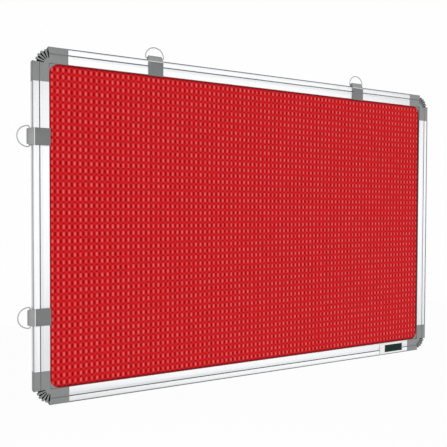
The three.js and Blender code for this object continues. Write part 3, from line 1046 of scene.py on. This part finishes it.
def panel_sheet():
    """The cloth before its floats are raised: a closed sheet folded back over the panel's edges."""
    low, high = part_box("fabric_cover")
    shape = bmesh.new()
    flat_sheet(shape, low, high)
    rim = [edge for edge in shape.edges if edge.is_boundary]
    draw_in(rim, high, CLOTH_EDGE_EASE)
    for inward, depth in (
        (-CLOTH_EDGE_EASE, low.y + CLOTH_EDGE_ROUND),
        (0.0, CLOTH_BACK_Y),
        (CLOTH_THICKNESS, CLOTH_BACK_Y),
        (0.0, low.y + CLOTH_THICKNESS),
    ):
        made = bmesh.ops.extrude_edge_only(shape, edges=rim)["geom"]
        rim = [item for item in made if isinstance(item, bmesh.types.BMEdge) and item.is_boundary]
        for vert in {vert for edge in rim for vert in edge.verts}:
            vert.co.y = depth
        draw_in(rim, high, inward)
    bmesh.ops.holes_fill(shape, edges=rim, sides=0)
    bmesh.ops.recalc_face_normals(shape, faces=shape.faces)
    return mesh_of("cover_cloth", shape), low.y


def free_share(mesh, front):
    """How free of the frame each point of the front is, from 0 under its lip to 1 in the open."""
    count = len(mesh.vertices)
    place = np.empty(count * 3)
    mesh.vertices.foreach_get("co", place)
    place = place.reshape(count, 3)
    half = np.array((BOARD_WIDTH / 2 - RAIL_FACE, BOARD_HEIGHT / 2 - RAIL_FACE))
    beyond = np.abs(place[:, (0, 2)]) - (half - WEB_RADIUS)
    outside = np.linalg.norm(np.maximum(beyond, 0), axis=1)
    inside = np.minimum(beyond.max(axis=1), 0)
    depth = WEB_RADIUS - (outside + inside)
    share = np.clip((depth - PRESS_START) / PRESS_WIDTH, 0, 1)
    share = share * share * (3 - 2 * share)
    share[place[:, 1] > front + CLOTH_THICKNESS / 2] = 0
    free = mesh.attributes.new("free", "FLOAT", "POINT")
    free.data.foreach_set("value", share.astype(np.float32))


def cover_cloth(material):
    """The red cloth over the panel."""
    mesh, front = panel_sheet()
    free_share(mesh, front)
    inputs = {
        "Float Height": FLOAT_HEIGHT,
        "Swell": CLOTH_SWELL,
        "Seed": CLOTH_SEED,
        "Finish": material,
    }
    cloth = grown(object_of("cover_cloth", mesh), cloth_tree(), inputs)
    for face in cloth.data.polygons:
        face.use_smooth = True
    placed(cloth, "board", "cover_fabric", "fabric_cover")


# The sticker's film


def film_layer(shape, offset):
    """The film's points at an offset from the rail's front, sunk where they span the groove."""
    groove_z = GROOVE_MIDDLE - BOARD_HEIGHT / 2
    layer = []
    for z in np.linspace(STICKER_BOTTOM, STICKER_TOP, STICKER_ROWS + 1):
        sag = STICKER_SAG * math.exp(-(((z - groove_z) / STICKER_SAG_REACH) ** 2))
        edge = min(z - STICKER_BOTTOM, STICKER_TOP - z, STICKER_ROUND)
        inset = STICKER_ROUND - math.sqrt(STICKER_ROUND**2 - (STICKER_ROUND - edge) ** 2)
        row = []
        for share in np.linspace(0, 1, STICKER_COLUMNS + 1):
            x = STICKER_LEFT + inset + share * (STICKER_RIGHT - STICKER_LEFT - 2 * inset)
            row.append(shape.verts.new((x, FRONT_Y + offset + sag, z)))
        layer.append(row)
    return layer


def rail_sticker(material):
    """A thin film with rounded corners over the front of the bottom rail."""
    columns, rows = STICKER_COLUMNS, STICKER_ROWS
    shape = bmesh.new()
    front = film_layer(shape, -STICKER_THICKNESS)
    back = film_layer(shape, -STICKER_GLUE)
    for layer, step in ((front, 1), (back, -1)):
        for lower, upper in zip(layer, layer[1:]):
            for i in range(columns):
                corners = [lower[i], lower[i + 1], upper[i + 1], upper[i]]
                shape.faces.new(corners[::step])
    rim = [(0, i) for i in range(columns)] + [(j, columns) for j in range(rows)]
    rim += [(rows, i) for i in range(columns, 0, -1)] + [(j, 0) for j in range(rows, 0, -1)]
    for (j, i), (next_j, next_i) in zip(rim, rim[1:] + rim[:1]):
        shape.faces.new((front[j][i], back[j][i], back[next_j][next_i], front[next_j][next_i]))
    bmesh.ops.recalc_face_normals(shape, faces=shape.faces)
    mesh = mesh_of("rail_sticker", shape)
    mesh.materials.append(material)
    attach(object_of("rail_sticker", mesh), "board")


# The stage: floor, world, lamps and camera

FLOOR_Z = -1.9
FLOOR_REACH = 9.0
FLOOR_WHITE_SHARE = 0.97
AMBIENT = 0.34

# Each lamp: its name, place, target, width, height and power, in metres and watts
LAMPS = (
    ("key_lamp", (-2.6, -3.1, 0.3), (0, 0, 0), 2.0, 2.4, 31),
    ("front_lamp", (1.7, -2.9, -0.1), (1.1, 0, 0), 7.4, 4.6, 81),
    ("back_lamp", (0.9, 3.8, 1.1), (0, 0, 0), 2.6, 2.0, 56),
)

# The camera that the edges of the board in the photograph solve to
CAMERA_PLACE = (-612.6 * MM, -1001.6 * MM, 29.9 * MM)
CAMERA_YAW = -27.75
CAMERA_PITCH = -1.36
CAMERA_ROLL = -0.2
CAMERA_LENS = 46.3
CAMERA_SENSOR = 36.0
CAMERA_CLIP_START = 0.01


def seen_ray(graph):
    """One for a ray from the camera, or for one that a gloss or a glass passes on."""
    path = graph.add("ShaderNodeLightPath")
    gloss = graph.math("ADD", path.outputs["Is Glossy Ray"], path.outputs["Is Transmission Ray"])
    return graph.math("ADD", path.outputs["Is Camera Ray"], gloss, clamp=True)


def pale_floor():
    """A pale floor well below the board that shows white and keeps a faint shadow."""
    shape = bmesh.new()
    bmesh.ops.create_grid(shape, x_segments=1, y_segments=1, size=FLOOR_REACH)
    bmesh.ops.translate(shape, verts=shape.verts, vec=(0, 0, FLOOR_Z))
    mesh = mesh_of("floor", shape)
    material = bpy.data.materials.new("pale_floor")
    material.use_nodes = True
    material.node_tree.nodes.clear()
    graph = Graph(material.node_tree)
    lit = graph.add("ShaderNodeBsdfDiffuse", {"Color": paint(244, 244, 244)})
    glow = graph.add("ShaderNodeEmission", {"Color": paint(255, 255, 255), "Strength": 1.0})
    share = graph.product(seen_ray(graph), FLOOR_WHITE_SHARE)
    both = graph.add("ShaderNodeMixShader", {0: share, 1: lit.outputs[0], 2: glow.outputs[0]})
    out = graph.add("ShaderNodeOutputMaterial")
    graph.feed(both.outputs[0], out.inputs["Surface"])
    mesh.materials.append(material)
    object_of("floor", mesh)


def white_world():
    """White where it is seen, and a dim even light on the board."""
    world = bpy.data.worlds.new("white_world")
    bpy.context.scene.world = world
    world.use_nodes = True
    world.node_tree.nodes.clear()
    graph = Graph(world.node_tree)
    strength = graph.between(seen_ray(graph), 0.0, 1.0, AMBIENT, 1.0)
    inputs = {"Color": paint(254, 254, 254), "Strength": strength}
    sky = graph.add("ShaderNodeBackground", inputs)
    out = graph.add("ShaderNodeOutputWorld")
    graph.feed(sky.outputs[0], out.inputs["Surface"])


def soft_lamp(name, place, target, width, height, power):
    """A large rectangular lamp turned to a point."""
    light = bpy.data.lights.new(name, "AREA")
    light.shape = "RECTANGLE"
    light.size = width
    light.size_y = height
    light.energy = power
    lamp = object_of(name, light)
    lamp.location = place
    aim = Vector(target) - Vector(place)
    lamp.rotation_euler = aim.to_track_quat("-Z", "Y").to_euler()


def photo_camera():
    """The camera at the place and angle of the photograph."""
    data = bpy.data.cameras.new("photo_camera")
    data.sensor_width = CAMERA_SENSOR
    data.lens = CAMERA_LENS
    data.clip_start = CAMERA_CLIP_START
    camera = object_of("photo_camera", data)
    turn = (
        Matrix.Rotation(math.radians(CAMERA_YAW), 4, "Z")
        @ Matrix.Rotation(math.radians(CAMERA_PITCH), 4, "X")
        @ Matrix.Rotation(math.radians(CAMERA_ROLL), 4, "Y")
        @ Matrix.Rotation(QUARTER_TURN, 4, "X")
    )
    camera.matrix_world = Matrix.Translation(CAMERA_PLACE) @ turn
    bpy.context.scene.camera = camera


# The scene

across_rail = satin_aluminium("satin_aluminium_across", upright=False)
upright_rail = satin_aluminium("satin_aluminium_upright", upright=True)
corner_finish = moulded_plastic()
clip_finish = clip_plastic()
wire_finish = plated_wire()

for side in SIDES:
    finish = across_rail if side in ("top", "bottom") else upright_rail
    rail = eased_copy("frame_rail_" + side, "rail_" + side, RAIL_EDGE_ROUND, finish)
    placed(rail, "board", "rail_aluminium", "frame_rail_" + side)
for names, node_start, piece_start, slot, finish in (
    (CORNERS, "corner_", "moulding_", "corner_plastic", corner_finish),
    (HANGERS, "hanger_clip_", "clip_", "clip_plastic", clip_finish),
):
    for name in names:
        node = node_start + name
        piece = eased_copy(node, piece_start + name, PLASTIC_EDGE_ROUND, finish)
        placed(piece, "board", slot, node)

hanger_rings(wire_finish)
corner_screws(zinc_plate())
cover_cloth(woven_cloth())
rail_sticker(printed_film())

for node, material in (("soft_core", soft_fibreboard()), ("backing_sheet", hardboard())):
    for slot in frame["nodes"][node].material_slots:
        slot.material = material

pale_floor()
white_world()
for lamp in LAMPS:
    soft_lamp(*lamp)
photo_camera()
bpy.context.scene.view_settings.view_transform = "Standard"
